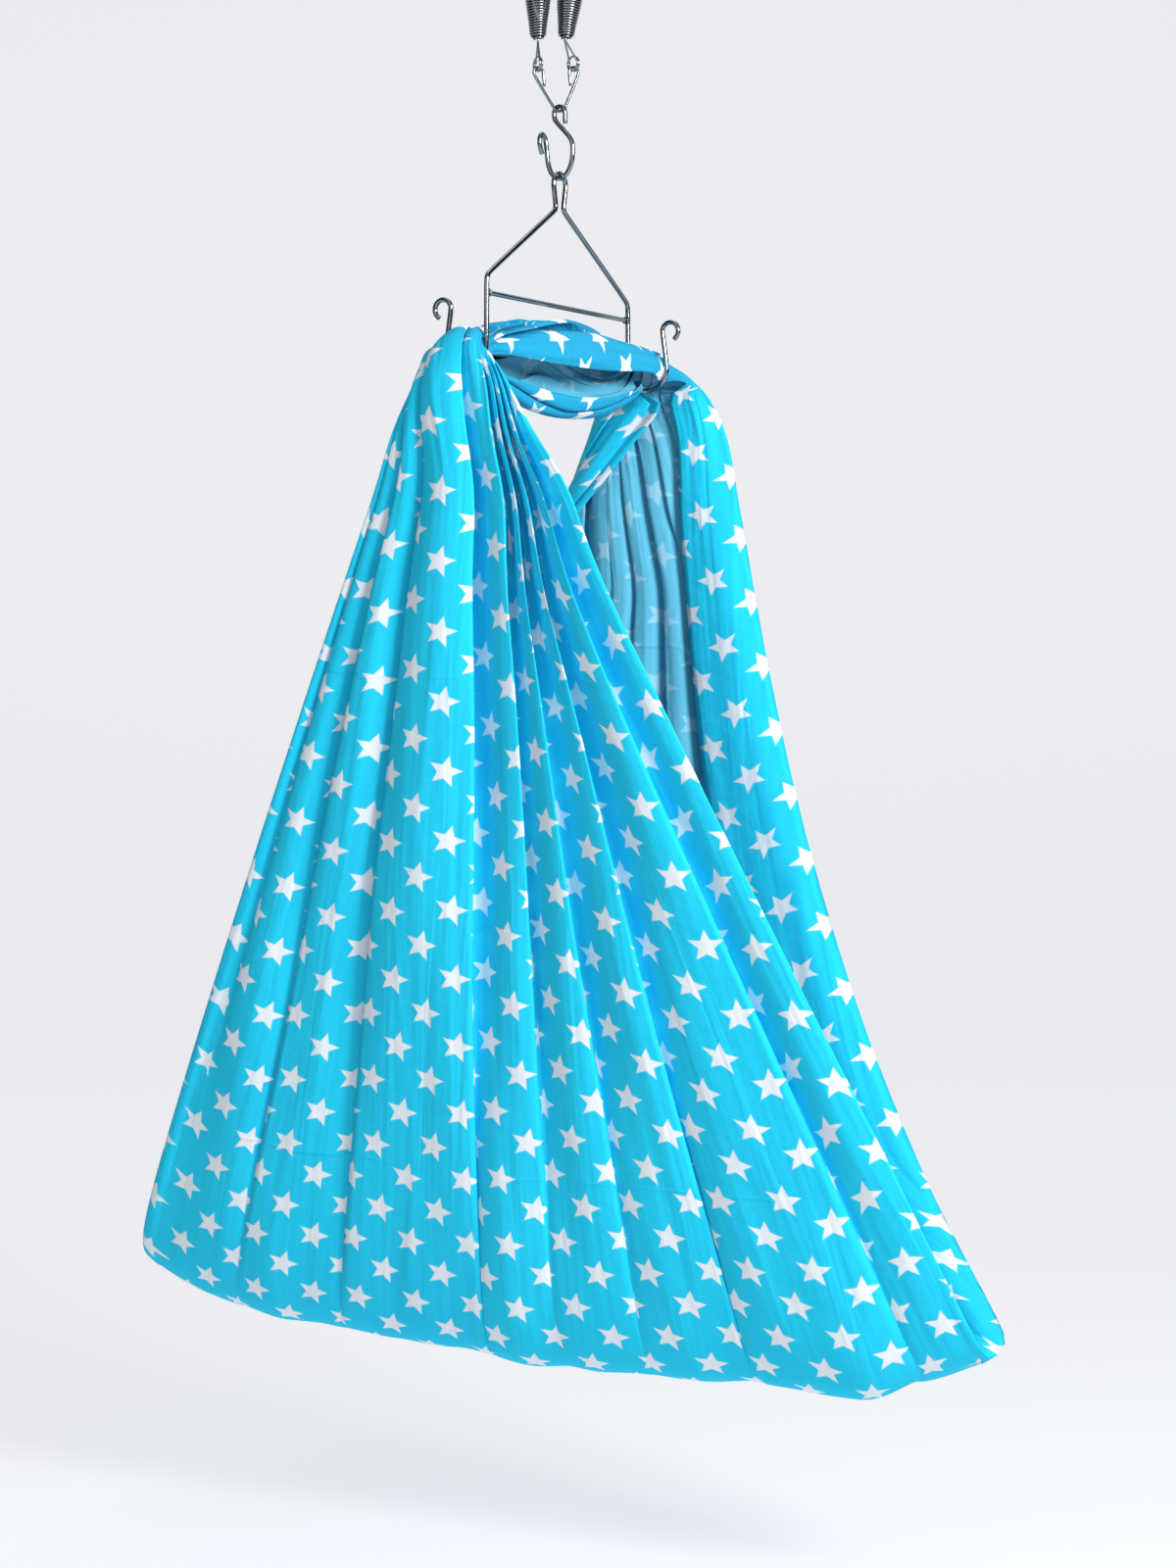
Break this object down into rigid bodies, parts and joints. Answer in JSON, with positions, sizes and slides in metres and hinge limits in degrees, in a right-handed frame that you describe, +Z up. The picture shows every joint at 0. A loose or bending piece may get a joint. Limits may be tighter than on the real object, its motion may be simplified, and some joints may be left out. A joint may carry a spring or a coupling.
{
  "type": "hanging baby cradle",
  "caption": "Hanging baby cradle: a loose printed cotton sling lies over a chromed wire hanger that bounces on a pair of barrel springs between S hooks.",
  "frame": {"origin": "underside of the top hook's crown, where it bears on the ceiling hook", "axes": "+Z up, +Y along the hanger's crossbar towards the end further from the picture's camera, +X across the sling's width towards the camera's right"},
  "size_m": [1.16, 0.395, 1.8098],
  "materials": {
    "chromed_wire": "bright nickel-chrome plated wire with weld beads under the plating",
    "spring_steel": "drawn spring wire, plated, dark between the curls",
    "printed_cotton": "plain weave cotton, sky blue with off-white five-pointed stars, pale on the reverse"
  },
  "bodies": {
    "ceiling_hook": {"top_hook": "chromed_wire"},
    "upper_yoke_body": {"upper_yoke": "chromed_wire"},
    "springs": {"spring_near": "spring_steel", "spring_far": "spring_steel", "upper_eye_near": "spring_steel", "upper_eye_far": "spring_steel"},
    "lower_eyes": {"lower_eye_near": "spring_steel", "lower_eye_far": "spring_steel"},
    "lower_yoke_body": {"lower_yoke": "chromed_wire"},
    "s_hook_body": {"s_hook": "chromed_wire"},
    "hanger": {"hanger_wire": "chromed_wire", "crossbar": "chromed_wire", "weld_near": "chromed_wire", "weld_far": "chromed_wire", "sling_near_panel": "printed_cotton", "sling_far_panel": "printed_cotton", "sling_near_gather": "printed_cotton", "sling_far_gather": "printed_cotton", "sling_top_band": "printed_cotton"}
  },
  "joints": [
    {"name": "upper_yoke_swing", "type": "hinge", "parent": "ceiling_hook", "child": "upper_yoke_body", "pos_m": [0, 0, -0.081], "axis": [1, 0, 0], "range_deg": [-20, 20]},
    {"name": "spring_swing", "type": "hinge", "parent": "upper_yoke_body", "child": "springs", "pos_m": [0, 0, -0.1259], "axis": [0.4695, 0.8829, 0], "range_deg": [-20, 20]},
    {"name": "bounce", "type": "slide", "parent": "springs", "child": "lower_eyes", "axis": [0, 0, -1], "range_m": [0, 0.12], "stiffness_N_per_m": 600, "springref_m": -0.033, "deforming": ["spring_near", "spring_far"]},
    {"name": "lower_yoke_swing", "type": "hinge", "parent": "lower_eyes", "child": "lower_yoke_body", "pos_m": [-0.00249, -0.00469, -0.29782], "axis": [0.4669, 0.8781, 0.1045], "range_deg": [-20, 20]},
    {"name": "s_hook_swing", "type": "hinge", "parent": "lower_yoke_body", "child": "s_hook_body", "pos_m": [0, 0, -0.34244], "axis": [1, 0, 0], "range_deg": [-18, 18]},
    {"name": "sling_swing", "type": "hinge", "parent": "s_hook_body", "child": "hanger", "pos_m": [0, 0, -0.42014], "axis": [0, 1, 0], "range_deg": [-20, 20]}
  ]
}
